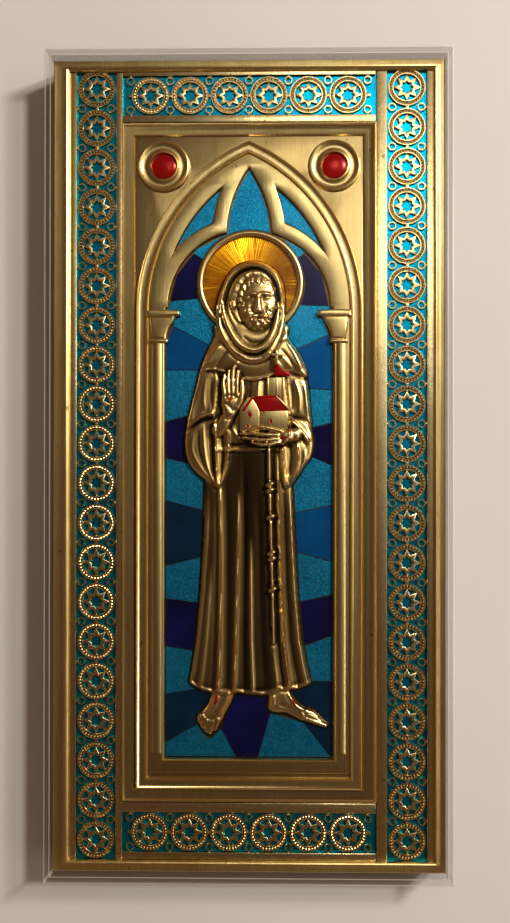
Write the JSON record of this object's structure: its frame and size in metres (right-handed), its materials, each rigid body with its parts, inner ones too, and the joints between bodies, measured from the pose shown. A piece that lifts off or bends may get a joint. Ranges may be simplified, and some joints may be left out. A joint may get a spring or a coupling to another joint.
{
  "type": "icon panel",
  "caption": "Upright rectangular devotional plaque of embossed brass with enamel panes, pierced border strips and a standing robed figure under a pointed arch, in a shallow clear case.",
  "frame": {"origin": "middle of the back, on the surface the panel lies on", "axes": "+Z out of the face, +Y towards the top of the picture, +X to the viewer's right"},
  "size_m": [0.124, 0.253, 0.022],
  "materials": {
    "clear": "clear polished acrylic",
    "brass": "embossed sheet with a warm brown patina and brushed highlights",
    "brass_strip": "stamped pierced strip, slightly redder and duller",
    "enamel_light": "granular translucent turquoise enamel",
    "enamel_mid": "smooth glossy blue enamel",
    "enamel_dark": "smooth glossy dark blue enamel",
    "enamel_navy": "smooth glossy navy enamel",
    "enamel_amber": "translucent amber enamel over brushed rays",
    "enamel_red": "glossy domed red enamel"
  },
  "bodies": {
    "root": {"acrylic_case": "clear", "icon_panel": "brass", "filigree_left": "brass_strip", "filigree_right": "brass_strip", "filigree_top": "brass_strip", "filigree_bottom": "brass_strip", "border_enamel": "enamel_light", "pane_lancet": "enamel_light", "pane_left_01": "enamel_light", "pane_left_02": "enamel_navy", "pane_left_03": "enamel_light", "pane_left_04": "enamel_mid", "pane_left_05": "enamel_light", "pane_left_06": "enamel_navy", "pane_left_07": "enamel_light", "pane_left_08": "enamel_dark", "pane_left_09": "enamel_light", "pane_left_10": "enamel_navy", "pane_left_11": "enamel_light", "pane_left_12": "enamel_dark", "pane_right_01": "enamel_light", "pane_right_02": "enamel_navy", "pane_right_03": "enamel_light", "pane_right_04": "enamel_mid", "pane_right_05": "enamel_light", "pane_right_06": "enamel_navy", "pane_right_07": "enamel_light", "pane_right_08": "enamel_mid", "pane_right_09": "enamel_light", "pane_right_10": "enamel_navy", "pane_right_11": "enamel_light", "pane_right_12": "enamel_dark", "pane_foot_middle": "enamel_navy", "pane_foot_left": "enamel_light", "pane_foot_right": "enamel_light", "pane_cell_left": "enamel_light", "pane_cell_right": "enamel_light", "halo_enamel": "enamel_amber", "boss_enamel_left": "enamel_red", "boss_enamel_right": "enamel_red"}
  },
  "joints": []
}
